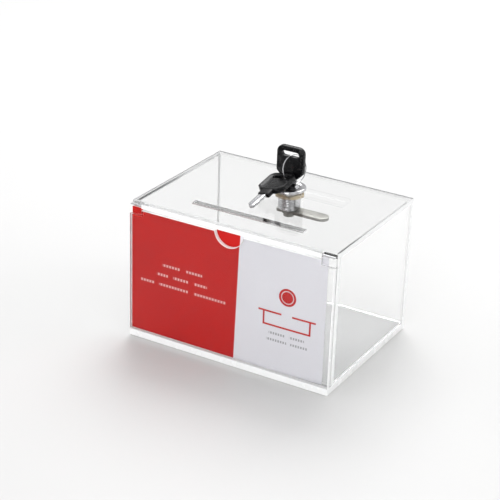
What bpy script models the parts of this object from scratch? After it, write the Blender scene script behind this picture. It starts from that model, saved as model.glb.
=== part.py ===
"""Clear acrylic donation box: printed sign in a front pocket, money slot, and a keyed cam lock in the lid.

Frame: the origin is on the table under the middle of the box, +X to the right, -Y to the front (the sign), +Z up.
The lid turns up about two pins at its front corners. The cam under the lid turns from +X (open) to +Y, under the
catch on the back wall (locked). All lengths are in metres.
"""
import math

import bmesh
import bpy
from mathutils import Matrix, Vector

MM = 0.001

# Box
WIDTH = 157.5 * MM
DEPTH = 116.8 * MM
HEIGHT = 101.6 * MM
SHEET = 3.0 * MM
BASE_SHEET = 5.0 * MM
GAP = 0.3 * MM
POLISHED_EDGE = 0.35 * MM
POCKET = 2.0 * MM

# Sign window and sign
WINDOW_TOP = HEIGHT - 4.3 * MM
NOTCH_RADIUS = 11.0 * MM
NOTCH_CENTRE_Z = WINDOW_TOP + 1.2 * MM
SIGN_THICKNESS = 0.4 * MM
SIGN_WIDTH = 151.0 * MM
SIGN_TOP = HEIGHT - 3.9 * MM

# Lid hinge: clear blocks at the front corners, each with a pin that runs into the lid's edge
BLOCK_WIDTH = 9.3 * MM
BLOCK_HEIGHT = 8.0 * MM
NOTCH_DEPTH = 3.9 * MM
PIN_DIAMETER = 1.2 * MM
PIN_CLEARANCE = 0.3 * MM
PIN_IN_LID = 5.5 * MM

# Money slot in the lid
SLOT_LENGTH = 86.5 * MM
SLOT_WIDTH = 5.0 * MM
SLOT_Y = -33.0 * MM

# Catch on the back wall
CATCH_LENGTH = 64.0 * MM
CATCH_DEPTH = 12.0 * MM
CATCH_BOTTOM = HEIGHT - 15.7 * MM

# Cam lock
LOCK_Y = 23.5 * MM
FLANGE_RADIUS = 11.5 * MM
FLANGE_HEIGHT = 2.0 * MM
FLANGE_ROUND = 0.9 * MM
BARREL_RADIUS = 8.0 * MM
BARREL_FLAT = 6.9 * MM
BARREL_BOTTOM = HEIGHT - 16.0 * MM
NUT_ACROSS_FLATS = 20.0 * MM
NUT_HEIGHT = 3.0 * MM
PLUG_RADIUS = 5.6 * MM
PLUG_FACE_RADIUS = 6.6 * MM
PLUG_FACE_DEPTH = 1.2 * MM
PLUG_SQUARE = 6.0 * MM
KEYWAY_WIDTH = 7.6 * MM
KEYWAY_GAP = 2.6 * MM
KEYWAY_BOTTOM = HEIGHT - 13.9 * MM
WAFER_COUNT = 5
WAFER_THICKNESS = 0.9 * MM
WAFER_PITCH = 2.6 * MM
WAFER_TOP = HEIGHT - 1.4 * MM
WAFER_LENGTH = 10.2 * MM
WAFER_WIDTH = 5.0 * MM

# Cam and its screw
CAM_REACH = 31.0 * MM
CAM_HEEL = 8.0 * MM
CAM_WIDTH = 10.4 * MM
CAM_THICKNESS = 2.0 * MM
CAM_TOP = BARREL_BOTTOM - GAP
WASHER_RADIUS = 4.8 * MM
WASHER_THICKNESS = 0.8 * MM
SCREW_HEAD_RADIUS = 3.9 * MM
SCREW_HEAD_HEIGHT = 2.2 * MM
SCREW_RADIUS = 1.7 * MM

# Keys: a moulded bow on a steel blade, in a frame whose origin is the middle of the bow's slot, blade along -Z
BOW_WIDTH = 21.0 * MM
BOW_HEIGHT = 23.0 * MM
BOW_THICKNESS = 4.0 * MM
BOW_ROUND = 4.7 * MM
BOW_CHAMFER = 4.5 * MM
BOW_TOP = 5.4 * MM
BOW_RIM = 2.4 * MM
BOW_RECESS = 0.35 * MM
COLLAR_WIDTH = 8.8 * MM
COLLAR_THICKNESS = 3.4 * MM
COLLAR_LENGTH = 6.0 * MM
BOW_SLOT_LENGTH = 13.5 * MM
BOW_SLOT_HEIGHT = 3.8 * MM
BLADE_WIDTH = 7.0 * MM
BLADE_THICKNESS = 2.0 * MM
BLADE_LENGTH = 22.0 * MM
TANG_LENGTH = 4.0 * MM
BLADE_CUTS = (1.3, 0.7, 1.5, 0.9, 1.2)
BLADE_CUT_PITCH = 2.6 * MM
BLADE_GROOVE = 0.5 * MM
KEY_TOP = 133.5 * MM

# Split ring through both bows
RING_RADIUS = 9.9 * MM
RING_WIRE = 0.5 * MM
RING_CENTRE = Vector((3.0 * MM, LOCK_Y, 117.4 * MM))
RING_DOWN = Vector((0.27, 0.0, -0.963)).normalized()
RING_ACROSS = Vector((0.38, 0.92, 0.1))

# Spare key, hanging on the ring with its blade towards the front and its tip close to the lid
SPARE_END = Vector((-2.5, 20.5, 112.3)) * MM
SPARE_BLADE = Vector((-0.03, -0.98, -0.19)).normalized()
SPARE_SIDE = Vector((0.975, 0.0, 0.2))

LID_BOTTOM = HEIGHT - SHEET
WALL_TOP = LID_BOTTOM - GAP
WALL_BOTTOM = BASE_SHEET + GAP
FRONT = -DEPTH / 2
BACK = DEPTH / 2
SIDE = WIDTH / 2
WINDOW_BACK = FRONT + SHEET
POCKET_BACK = WINDOW_BACK + POCKET
BLOCK_INNER = SIDE - BLOCK_WIDTH
HINGE_Y = FRONT + SHEET / 2
HINGE_Z = HEIGHT - SHEET / 2
FLANGE_BOTTOM = HEIGHT + GAP
FLANGE_TOP = FLANGE_BOTTOM + FLANGE_HEIGHT

for old in list(bpy.data.objects):
    bpy.data.objects.remove(old)

PARTS = bpy.data.collections.new("donation_box")
CUTTERS = bpy.data.collections.new("cutters")
bpy.context.scene.collection.children.link(PARTS)
bpy.context.scene.collection.children.link(CUTTERS)


def material(name, colour, roughness, metallic=0.0, transmission=0.0):
    """Principled material with one colour."""
    made = bpy.data.materials.new(name)
    made.use_nodes = True
    shader = made.node_tree.nodes["Principled BSDF"]
    shader.inputs["Base Color"].default_value = (*colour, 1.0)
    shader.inputs["Roughness"].default_value = roughness
    shader.inputs["Metallic"].default_value = metallic
    shader.inputs["Transmission Weight"].default_value = transmission
    shader.inputs["IOR"].default_value = 1.49
    made.diffuse_color = (*colour, 1.0 - 0.7 * transmission)
    return made


def finish(obj, made, parent=None, smooth=True):
    """Put an object in the parts collection with its own copy of a material and an optional parent."""
    own = made.copy()
    own.name = obj.name
    obj.data.materials.clear()
    obj.data.materials.append(own)
    PARTS.objects.link(obj)
    if smooth and obj.type == "MESH":
        obj.data.shade_smooth()
        obj.data.set_sharp_from_angle(angle=math.radians(35))
    if parent is not None:
        obj.parent = parent
        obj.matrix_parent_inverse = parent.matrix_world.inverted()
    return obj


def frame(name, matrix, parent=None):
    """Empty that marks a joint's axis or a local frame."""
    empty = bpy.data.objects.new(name, None)
    empty.empty_display_size = 10 * MM
    PARTS.objects.link(empty)
    if parent is not None:
        empty.parent = parent
        empty.matrix_parent_inverse = parent.matrix_world.inverted()
    empty.matrix_basis = matrix
    bpy.context.view_layer.update()
    return empty


def axes(origin, x_axis, z_axis):
    """Matrix with the given origin, its Z along z_axis, and its X as near x_axis as it can be."""
    z = z_axis.normalized()
    x = (x_axis - z * x_axis.dot(z)).normalized()
    y = z.cross(x)
    turn = Matrix((x, y, z)).transposed().to_4x4()
    return Matrix.Translation(origin) @ turn


def box_object(name, low, high):
    """Box between two corners, with its origin in its middle."""
    size = Vector(high) - Vector(low)
    shape = bmesh.new()
    bmesh.ops.create_cube(shape, size=1.0)
    bmesh.ops.scale(shape, vec=size, verts=shape.verts)
    mesh = bpy.data.meshes.new(name)
    shape.to_mesh(mesh)
    shape.free()
    obj = bpy.data.objects.new(name, mesh)
    obj.location = (Vector(low) + Vector(high)) / 2
    return obj


def cylinder_object(name, radius, start, end, sides=32):
    """Cylinder between two points."""
    start = Vector(start)
    end = Vector(end)
    span = end - start
    shape = bmesh.new()
    bmesh.ops.create_cone(shape, cap_ends=True, segments=sides, radius1=radius, radius2=radius, depth=span.length)
    mesh = bpy.data.meshes.new(name)
    shape.to_mesh(mesh)
    shape.free()
    obj = bpy.data.objects.new(name, mesh)
    obj.matrix_basis = Matrix.Translation((start + end) / 2) @ span.to_track_quat("Z", "Y").to_matrix().to_4x4()
    return obj


def arc(centre_x, centre_y, radius, start, end, steps):
    """Points on an arc, angles in degrees, both ends included."""
    turns = [math.radians(start + (end - start) * i / steps) for i in range(steps + 1)]
    return [(centre_x + radius * math.cos(t), centre_y + radius * math.sin(t)) for t in turns]


def plate_object(name, outline, thickness, matrix):
    """Mesh plate cut to an outline in the matrix's XY plane, with half its thickness on each side."""
    curve = bpy.data.curves.new(name + "_outline", "CURVE")
    curve.dimensions = "2D"
    curve.fill_mode = "BOTH"
    curve.extrude = thickness / 2
    spline = curve.splines.new("POLY")
    spline.points.add(len(outline) - 1)
    for point, (x, y) in zip(spline.points, outline):
        point.co = (x, y, 0.0, 1.0)
    spline.use_cyclic_u = True
    flat = bpy.data.objects.new(name + "_outline", curve)
    flat.matrix_basis = matrix
    return mesh_from(flat, name)


def mesh_from(source, name):
    """Closed mesh object from a curve object, which is removed."""
    bpy.context.scene.collection.objects.link(source)
    bpy.context.view_layer.update()
    evaluated = source.evaluated_get(bpy.context.evaluated_depsgraph_get())
    mesh = bpy.data.meshes.new_from_object(evaluated)
    shape = bmesh.new()
    shape.from_mesh(mesh)
    bmesh.ops.remove_doubles(shape, verts=shape.verts, dist=0.001 * MM)
    bmesh.ops.recalc_face_normals(shape, faces=shape.faces)
    shape.to_mesh(mesh)
    shape.free()
    obj = bpy.data.objects.new(name, mesh)
    obj.matrix_basis = source.matrix_world.copy()
    bpy.data.objects.remove(source)
    return obj


def turned_object(name, profile, centre, steps):
    """Turned ring about +Z. The profile is a closed loop of (radius, height), outer side from top to bottom."""
    mesh = bpy.data.meshes.new(name)
    points = [(radius, 0.0, height) for radius, height in profile]
    edges = [(i, (i + 1) % len(points)) for i in range(len(points))]
    mesh.from_pydata(points, edges, [])
    obj = bpy.data.objects.new(name, mesh)
    obj.location = centre
    screw = obj.modifiers.new("Turn", "SCREW")
    screw.steps = steps
    screw.render_steps = steps
    screw.use_merge_vertices = True
    screw.merge_threshold = 0.01 * MM
    screw.use_smooth_shade = True
    return obj


def bevel(obj, width, segments=1, angle=40):
    """Round or chamfer an object's edges."""
    edge = obj.modifiers.new("Edges", "BEVEL")
    edge.width = width
    edge.segments = segments
    edge.limit_method = "ANGLE"
    edge.angle_limit = math.radians(angle)
    edge.harden_normals = False
    return obj


def cut(obj, cutter, operation="DIFFERENCE"):
    """Cut an object with another one, or join it to another one with UNION."""
    cutter.hide_render = True
    cutter.display_type = "WIRE"
    if cutter.name not in CUTTERS.objects:
        CUTTERS.objects.link(cutter)
    boolean = obj.modifiers.new("Cut", "BOOLEAN")
    boolean.operation = operation
    boolean.solver = "EXACT"
    boolean.object = cutter
    return obj


def panel(name, low, high, made, parent=None):
    """Acrylic sheet with polished edges."""
    obj = bevel(box_object(name, low, high), POLISHED_EDGE)
    return finish(obj, made, parent, smooth=False)


ACRYLIC = material("acrylic", (0.95, 0.97, 0.98), 0.03, transmission=1.0)
PAPER = material("paper", (0.49, 0.05, 0.04), 0.6)
CHROME = material("chrome", (0.80, 0.80, 0.80), 0.10, metallic=1.0)
BRASS = material("brass", (0.75, 0.65, 0.42), 0.25, metallic=1.0)
STEEL = material("steel", (0.55, 0.54, 0.51), 0.32, metallic=1.0)
BLACK_PLASTIC = material("black_plastic", (0.012, 0.012, 0.012), 0.28)


def make_walls():
    """Base and four walls. The pocket in front of them is open at its top and at its two sides."""
    panel("base_panel", (-SIDE, FRONT, 0.0), (SIDE, BACK, BASE_SHEET), ACRYLIC)
    panel("back_wall", (-SIDE, BACK - SHEET, WALL_BOTTOM), (SIDE, BACK, WALL_TOP), ACRYLIC)
    for name, sign in (("left_wall", -1), ("right_wall", 1)):
        xs = sorted((sign * SIDE, sign * (SIDE - SHEET)))
        low = (xs[0], POCKET_BACK + SHEET + GAP, WALL_BOTTOM)
        high = (xs[1], BACK - SHEET - GAP, WALL_TOP)
        panel(name, low, high, ACRYLIC)
    low = (-SIDE, POCKET_BACK, WALL_BOTTOM)
    panel("inner_front_wall", low, (SIDE, POCKET_BACK + SHEET, WALL_TOP), ACRYLIC)


def make_window():
    """Outer front sheet, with a half-round thumb notch in its top edge and its top corners cut for the blocks."""
    block_bottom = HEIGHT - BLOCK_HEIGHT - GAP
    corner = BLOCK_INNER - GAP
    half_angle = math.degrees(math.asin((NOTCH_CENTRE_Z - WINDOW_TOP) / NOTCH_RADIUS))
    outline = [(-SIDE, WALL_BOTTOM), (SIDE, WALL_BOTTOM), (SIDE, block_bottom), (corner, block_bottom)]
    outline.append((corner, WINDOW_TOP))
    outline += arc(0.0, NOTCH_CENTRE_Z, NOTCH_RADIUS, -half_angle, half_angle - 180, 20)
    outline += [(-corner, WINDOW_TOP), (-corner, block_bottom), (-SIDE, block_bottom)]
    upright = Matrix.Translation((0.0, FRONT + SHEET / 2, 0.0)) @ Matrix.Rotation(math.radians(90), 4, "X")
    window = plate_object("sign_window", outline, SHEET, upright)
    finish(window, ACRYLIC, smooth=False)


def make_sign():
    """Printed sheet that stands in the pocket."""
    middle = (WINDOW_BACK + POCKET_BACK) / 2
    left = -SIDE + GAP
    low = (left, middle - SIGN_THICKNESS / 2, WALL_BOTTOM)
    high = (left + SIGN_WIDTH, middle + SIGN_THICKNESS / 2, SIGN_TOP)
    finish(box_object("sign_insert", low, high), PAPER, smooth=False)


def make_hinge():
    """Two clear blocks on the front corners, and the pins in them."""
    for side, sign in (("left", -1), ("right", 1)):
        xs = sorted((sign * SIDE, sign * BLOCK_INNER))
        name = "hinge_block_" + side
        block = box_object(name, (xs[0], FRONT, HEIGHT - BLOCK_HEIGHT), (xs[1], WINDOW_BACK, HEIGHT))
        bevel(block, POLISHED_EDGE)
        bore = PIN_DIAMETER / 2 + PIN_CLEARANCE
        ends = (sign * (BLOCK_INNER - 5 * MM), HINGE_Y, HINGE_Z), (sign * (SIDE + 5 * MM), HINGE_Y, HINGE_Z)
        cut(block, cylinder_object(name + "_bore", bore, ends[0], ends[1], 20))
        finish(block, ACRYLIC, smooth=False)
        inner = BLOCK_INNER - GAP - PIN_IN_LID + PIN_CLEARANCE
        start = (sign * inner, HINGE_Y, HINGE_Z)
        end = (sign * (SIDE - GAP), HINGE_Y, HINGE_Z)
        pin = cylinder_object("hinge_pin_" + side, PIN_DIAMETER / 2, start, end, 16)
        finish(pin, STEEL)


def make_catch():
    """Strip on the back wall that the cam turns under."""
    back = BACK - SHEET - GAP
    low = (-CATCH_LENGTH / 2, back - CATCH_DEPTH + GAP, CATCH_BOTTOM)
    panel("cam_catch", low, (CATCH_LENGTH / 2, back, CATCH_BOTTOM + SHEET), ACRYLIC)


def make_lid(lid_frame):
    """Lid sheet with the money slot, the lock's hole with two flats, corner notches and pin bores."""
    lid = box_object("lid_panel", (-SIDE, FRONT, LID_BOTTOM), (SIDE, BACK, HEIGHT))
    over = 5 * MM
    low = (-SLOT_LENGTH / 2, SLOT_Y - SLOT_WIDTH / 2, LID_BOTTOM - over)
    high = (SLOT_LENGTH / 2, SLOT_Y + SLOT_WIDTH / 2, HEIGHT + over)
    cut(lid, box_object("money_slot_cutter", low, high))
    flat = math.degrees(math.acos((BARREL_FLAT + GAP) / (BARREL_RADIUS + GAP)))
    outline = arc(0.0, 0.0, BARREL_RADIUS + GAP, flat, 180 - flat, 16)
    outline += arc(0.0, 0.0, BARREL_RADIUS + GAP, 180 + flat, 360 - flat, 16)
    place = Matrix.Translation((0.0, LOCK_Y, (LID_BOTTOM + HEIGHT) / 2))
    cut(lid, plate_object("lock_hole_cutter", outline, SHEET + 2 * over, place))
    notch = BLOCK_INNER - GAP
    for side, sign in (("left", -1), ("right", 1)):
        xs = sorted((sign * notch, sign * (SIDE + over)))
        low = (xs[0], FRONT - over, LID_BOTTOM - over)
        cut(lid, box_object("corner_cutter_" + side, low, (xs[1], FRONT + NOTCH_DEPTH, HEIGHT + over)))
        start = (sign * (notch - PIN_IN_LID), HINGE_Y, HINGE_Z)
        end = (sign * (notch + over), HINGE_Y, HINGE_Z)
        bore = PIN_DIAMETER / 2 + PIN_CLEARANCE
        cut(lid, cylinder_object("pin_bore_cutter_" + side, bore, start, end, 20))
    finish(lid, ACRYLIC, lid_frame, smooth=False)


def make_housing(lid_frame):
    """Lock housing: rounded flange on the lid, and a barrel with two flats through it."""
    outer = FLANGE_RADIUS
    face = PLUG_FACE_RADIUS + GAP
    bore = PLUG_RADIUS + GAP
    shoulder = FLANGE_TOP - PLUG_FACE_DEPTH - GAP
    profile = [(face, shoulder), (face, FLANGE_TOP - 0.3 * MM), (face + 0.3 * MM, FLANGE_TOP)]
    profile += arc(outer - FLANGE_ROUND, FLANGE_TOP - FLANGE_ROUND, FLANGE_ROUND, 90, 0, 4)
    profile += [(outer, FLANGE_BOTTOM), (BARREL_RADIUS, FLANGE_BOTTOM)]
    profile += [(BARREL_RADIUS, BARREL_BOTTOM + 0.4 * MM), (BARREL_RADIUS - 0.4 * MM, BARREL_BOTTOM)]
    profile += [(bore, BARREL_BOTTOM), (bore, shoulder)]
    housing = turned_object("lock_housing", profile, (0.0, LOCK_Y, 0.0), 64)
    for side, sign in (("left", -1), ("right", 1)):
        xs = sorted((sign * BARREL_FLAT, sign * 2 * BARREL_RADIUS))
        low = (xs[0], LOCK_Y - 2 * BARREL_RADIUS, BARREL_BOTTOM - SHEET)
        high = (xs[1], LOCK_Y + 2 * BARREL_RADIUS, FLANGE_BOTTOM)
        cut(housing, box_object("barrel_flat_cutter_" + side, low, high))
    finish(housing, CHROME, lid_frame)


def make_nut(lid_frame):
    """Hexagonal nut under the lid, with chamfered corners."""
    top = LID_BOTTOM - GAP
    across_corners = NUT_ACROSS_FLATS / math.cos(math.radians(30))
    nut = cylinder_object("lock_nut", across_corners / 2, (0, LOCK_Y, top - NUT_HEIGHT), (0, LOCK_Y, top), 6)
    round_profile = [(0.5 * across_corners, top - NUT_HEIGHT / 2)]
    round_profile.append((NUT_ACROSS_FLATS / 2 - 0.2 * MM, top - NUT_HEIGHT))
    round_profile += [(BARREL_RADIUS + GAP, top - NUT_HEIGHT), (BARREL_RADIUS + GAP, top)]
    round_profile.append((NUT_ACROSS_FLATS / 2 + 0.6 * MM, top))
    round_part = turned_object("nut_round_cutter", round_profile, (0.0, LOCK_Y, 0.0), 48)
    cut(nut, round_part, "INTERSECT")
    finish(nut, BRASS, lid_frame)


def wafer_height(index):
    """Top of one wafer."""
    return WAFER_TOP - index * WAFER_PITCH


def make_plug(lock_frame):
    """Turning core of the lock: keyway from its face, wafer slots across it, square end for the cam."""
    face = FLANGE_TOP - 0.2 * MM
    shoulder = FLANGE_TOP - PLUG_FACE_DEPTH
    plug = cylinder_object("lock_plug", PLUG_RADIUS, (0, LOCK_Y, BARREL_BOTTOM), (0, LOCK_Y, shoulder - 0.1 * MM), 48)
    head = cylinder_object("plug_face_joiner", PLUG_FACE_RADIUS, (0, LOCK_Y, shoulder), (0, LOCK_Y, face), 48)
    start = (0, LOCK_Y, shoulder - MM)
    neck = cylinder_object("plug_neck_joiner", PLUG_RADIUS - GAP, start, (0, LOCK_Y, face - 0.5 * MM), 48)
    half = PLUG_SQUARE / 2
    square_low = (-half, LOCK_Y - half, CAM_TOP - CAM_THICKNESS + GAP)
    square = box_object("plug_square_joiner", square_low, (half, LOCK_Y + half, BARREL_BOTTOM + MM))
    for piece in (neck, head, square):
        cut(plug, piece, "UNION")
    low = (-KEYWAY_WIDTH / 2, LOCK_Y - KEYWAY_GAP / 2, KEYWAY_BOTTOM)
    cut(plug, box_object("keyway_cutter", low, (KEYWAY_WIDTH / 2, LOCK_Y + KEYWAY_GAP / 2, face + MM)))
    for index in range(WAFER_COUNT):
        top = wafer_height(index) + GAP
        low = (-PLUG_RADIUS - MM, LOCK_Y - WAFER_WIDTH / 2 - GAP, top - WAFER_THICKNESS - 2 * GAP)
        high = (WAFER_LENGTH / 2 + GAP, LOCK_Y + WAFER_WIDTH / 2 + GAP, top)
        cut(plug, box_object("wafer_slot_cutter_%d" % (index + 1), low, high))
    screw_end = CAM_TOP - CAM_THICKNESS - MM
    bore_top = BARREL_BOTTOM + 0.9 * MM
    bore = cylinder_object("screw_bore_cutter", SCREW_RADIUS + GAP, (0, LOCK_Y, screw_end), (0, LOCK_Y, bore_top), 24)
    cut(plug, bore)
    finish(plug, CHROME, lock_frame)


def make_wafers(lock_frame):
    """Disc tumblers: thin plates across the keyway, each with a window that the blade passes through."""
    for index in range(WAFER_COUNT):
        top = wafer_height(index)
        half_length = WAFER_LENGTH / 2
        half_width = WAFER_WIDTH / 2
        low = (-half_length, LOCK_Y - half_width, top - WAFER_THICKNESS)
        wafer = box_object("wafer_%d" % (index + 1), low, (half_length, LOCK_Y + half_width, top))
        low = (-BLADE_WIDTH / 2 - GAP, LOCK_Y - BLADE_THICKNESS / 2 - GAP, top - WAFER_THICKNESS - MM)
        high = (BLADE_WIDTH / 2 + GAP, LOCK_Y + BLADE_THICKNESS / 2 + GAP, top + MM)
        cut(wafer, box_object("wafer_window_cutter_%d" % (index + 1), low, high))
        finish(wafer, BRASS, lock_frame, smooth=False)


def make_cam(lock_frame):
    """Cam strip on the plug's square end, with its washer and screw."""
    half = CAM_WIDTH / 2
    outline = arc(CAM_REACH - half, 0.0, half, -90, 90, 12)
    outline += arc(-CAM_HEEL + 2 * MM, half - 2 * MM, 2 * MM, 90, 180, 3)
    outline += arc(-CAM_HEEL + 2 * MM, -half + 2 * MM, 2 * MM, 180, 270, 3)
    middle = CAM_TOP - CAM_THICKNESS / 2
    cam = plate_object("cam", outline, CAM_THICKNESS, Matrix.Translation((0.0, LOCK_Y, middle)))
    hole = PLUG_SQUARE / 2 + GAP
    low = (-hole, LOCK_Y - hole, middle - 3 * MM)
    cut(cam, box_object("cam_hole_cutter", low, (hole, LOCK_Y + hole, middle + 3 * MM)))
    finish(cam, STEEL, lock_frame)
    washer_top = CAM_TOP - CAM_THICKNESS - GAP
    washer_bottom = washer_top - WASHER_THICKNESS
    hole = SCREW_RADIUS + GAP
    profile = [(hole, washer_top), (WASHER_RADIUS, washer_top), (WASHER_RADIUS, washer_bottom), (hole, washer_bottom)]
    finish(turned_object("cam_washer", profile, (0.0, LOCK_Y, 0.0), 32), STEEL, lock_frame)
    head_top = washer_bottom - GAP
    head_bottom = head_top - SCREW_HEAD_HEIGHT
    shank_top = BARREL_BOTTOM + 0.5 * MM
    screw = cylinder_object("cam_screw", SCREW_HEAD_RADIUS, (0, LOCK_Y, head_bottom), (0, LOCK_Y, head_top), 32)
    bevel(screw, 0.5 * MM, 2)
    shank = cylinder_object("screw_shank_joiner", SCREW_RADIUS, (0, LOCK_Y, head_top - MM), (0, LOCK_Y, shank_top), 20)
    cut(screw, shank, "UNION")
    arm = SCREW_HEAD_RADIUS * 0.6
    for name, along, across in (("a", arm, 0.45 * MM), ("b", 0.45 * MM, arm)):
        low = (-along, LOCK_Y - across, head_bottom - MM)
        cut(screw, box_object("screw_cross_cutter_" + name, low, (along, LOCK_Y + across, head_bottom + 1.1 * MM)))
    finish(screw, STEEL, lock_frame)


def bow_outline(inset):
    """Outline of a key's bow in (across, up) from the middle of its slot, inset all round."""
    half = BOW_WIDTH / 2
    top = BOW_TOP
    bottom = BOW_TOP - BOW_HEIGHT
    radius = BOW_ROUND - inset
    corner = inset * math.tan(math.radians(22.5))
    cut_side = bottom + BOW_CHAMFER + corner
    cut_bottom = half - BOW_CHAMFER - corner
    outline = arc(half - BOW_ROUND, top - BOW_ROUND, radius, 0, 90, 6)
    outline += arc(-half + BOW_ROUND, top - BOW_ROUND, radius, 90, 180, 6)
    outline += [(-half + inset, cut_side), (-cut_bottom, bottom + inset)]
    outline += [(cut_bottom, bottom + inset), (half - inset, cut_side)]
    return outline


def blade_outline():
    """Outline of a key's blade in (across, up): tang in the bow, five cuts on one edge, pointed tip."""
    half = BLADE_WIDTH / 2
    top = BOW_TOP - BOW_HEIGHT + TANG_LENGTH
    tip = BOW_TOP - BOW_HEIGHT - BLADE_LENGTH
    outline = [(half - 0.6 * MM, top), (-half, top), (-half, tip + 2.6 * MM), (-half + 2.2 * MM, tip)]
    outline += [(half - 3.4 * MM, tip), (half - 1.4 * MM, tip + 1.6 * MM)]
    slope = 0.8 * MM
    for index, depth in enumerate(BLADE_CUTS):
        middle = tip + 3.4 * MM + index * BLADE_CUT_PITCH
        floor = half - 0.6 * MM - depth * MM
        outline += [(floor, middle - 0.35 * MM), (floor, middle + 0.35 * MM)]
        if index < len(BLADE_CUTS) - 1:
            outline.append((floor + min(depth, 0.8) * MM, middle + 0.35 * MM + slope))
    outline += [(half - 0.6 * MM, tip + 3.4 * MM + len(BLADE_CUTS) * BLADE_CUT_PITCH)]
    return outline


def make_key(prefix, key_frame):
    """One key in a frame: a moulded bow with a slot, raised rims and a pocket, and the blade in the pocket."""
    place = key_frame.matrix_world.copy()
    upright = Matrix.Rotation(math.radians(90), 4, "X")
    bow = plate_object(prefix + "_bow", bow_outline(0.0), BOW_THICKNESS, place @ upright)
    bevel(bow, 0.5 * MM, 2)
    for side, sign in (("front", -1), ("back", 1)):
        offset = sign * (BOW_THICKNESS / 2 + BOW_RECESS)
        shift = Matrix.Translation((0.0, offset, 0.0))
        name = "%s_recess_cutter_%s" % (prefix, side)
        cut(bow, plate_object(name, bow_outline(BOW_RIM), 4 * BOW_RECESS, place @ shift @ upright))
    end = BOW_SLOT_HEIGHT / 2
    straight = BOW_SLOT_LENGTH / 2 - end
    slot = arc(straight, 0.0, end, -90, 90, 6) + arc(-straight, 0.0, end, 90, 270, 6)
    cut(bow, plate_object(prefix + "_slot_cutter", slot, 3 * BOW_THICKNESS, place @ upright))
    bottom = BOW_TOP - BOW_HEIGHT
    neck = COLLAR_WIDTH / 2
    side = COLLAR_THICKNESS / 2
    low = (-neck, -side, bottom - COLLAR_LENGTH)
    collar = box_object(prefix + "_collar_joiner", low, (neck, side, bottom + 2 * MM))
    collar.matrix_basis = place @ collar.matrix_basis
    cut(bow, collar, "UNION")
    half = BLADE_WIDTH / 2 + GAP
    deep = BLADE_THICKNESS / 2 + GAP
    low = (-half, -deep, bottom - COLLAR_LENGTH - MM)
    pocket = box_object(prefix + "_pocket_cutter", low, (half, deep, bottom + TANG_LENGTH + GAP))
    pocket.matrix_basis = place @ pocket.matrix_basis
    cut(bow, pocket)
    finish(bow, BLACK_PLASTIC, key_frame)
    blade = plate_object(prefix + "_blade", blade_outline(), BLADE_THICKNESS, place @ upright)
    tip = bottom - BLADE_LENGTH
    for side, sign in (("front", -1), ("back", 1)):
        middle = sign * BLADE_THICKNESS / 2
        low = (-2.2 * MM, middle - BLADE_GROOVE, tip - MM)
        groove = box_object("%s_groove_cutter_%s" % (prefix, side), low, (-0.9 * MM, middle + BLADE_GROOVE, bottom - MM))
        groove.matrix_basis = place @ groove.matrix_basis
        cut(blade, groove)
    finish(blade, CHROME, key_frame)


def make_ring(ring_frame, across, normal):
    """Wire ring through the slots of both bows."""
    curve = bpy.data.curves.new("key_ring_wire", "CURVE")
    curve.dimensions = "3D"
    curve.bevel_depth = RING_WIRE
    curve.bevel_resolution = 2
    curve.render_resolution_u = 0
    spline = curve.splines.new("POLY")
    count = 40
    spline.points.add(count - 1)
    for index, point in enumerate(spline.points):
        turn = 2 * math.pi * index / count
        point.co = (RING_RADIUS * math.cos(turn), RING_RADIUS * math.sin(turn), 0.0, 1.0)
    spline.use_cyclic_u = True
    wire = bpy.data.objects.new("key_ring_wire", curve)
    wire.matrix_basis = axes(RING_CENTRE, across, normal)
    ring = mesh_from(wire, "key_ring")
    finish(ring, CHROME, ring_frame)


def build():
    """Make every piece, body by body."""
    make_walls()
    make_window()
    make_sign()
    make_hinge()
    make_catch()
    lid_frame = frame("lid_hinge_axis", Matrix.Translation((0.0, HINGE_Y, HINGE_Z)))
    make_lid(lid_frame)
    make_housing(lid_frame)
    make_nut(lid_frame)
    lock_frame = frame("lock_axis", Matrix.Translation((0.0, LOCK_Y, HEIGHT)), lid_frame)
    make_plug(lock_frame)
    make_wafers(lock_frame)
    make_cam(lock_frame)
    key_frame = frame("key_axis", Matrix.Translation((0.0, LOCK_Y, KEY_TOP - BOW_TOP)), lock_frame)
    make_key("key", key_frame)
    across = (RING_ACROSS - RING_DOWN * RING_ACROSS.dot(RING_DOWN)).normalized()
    normal = across.cross(RING_DOWN)
    ring_frame = frame("ring_axis", axes(RING_CENTRE - RING_DOWN * RING_RADIUS, across, normal), key_frame)
    make_ring(ring_frame, across, normal)
    spare_pivot = frame("spare_key_axis", axes(RING_CENTRE, across, normal), ring_frame)
    slot_middle = SPARE_END + SPARE_BLADE * BOW_TOP
    spare_frame = frame("spare_key_frame", axes(slot_middle, SPARE_SIDE, -SPARE_BLADE), spare_pivot)
    make_key("spare_key", spare_frame)


build()
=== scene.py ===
"""Looks of a clear acrylic donation box with a sign in its front pocket, a lock in its lid and two keys.

The frame is in metres: +X to the right, -Y to the front, +Z up, with the origin on the table under the box.
"""

import math

import bmesh
import bpy
from mathutils import Matrix, Vector


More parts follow.
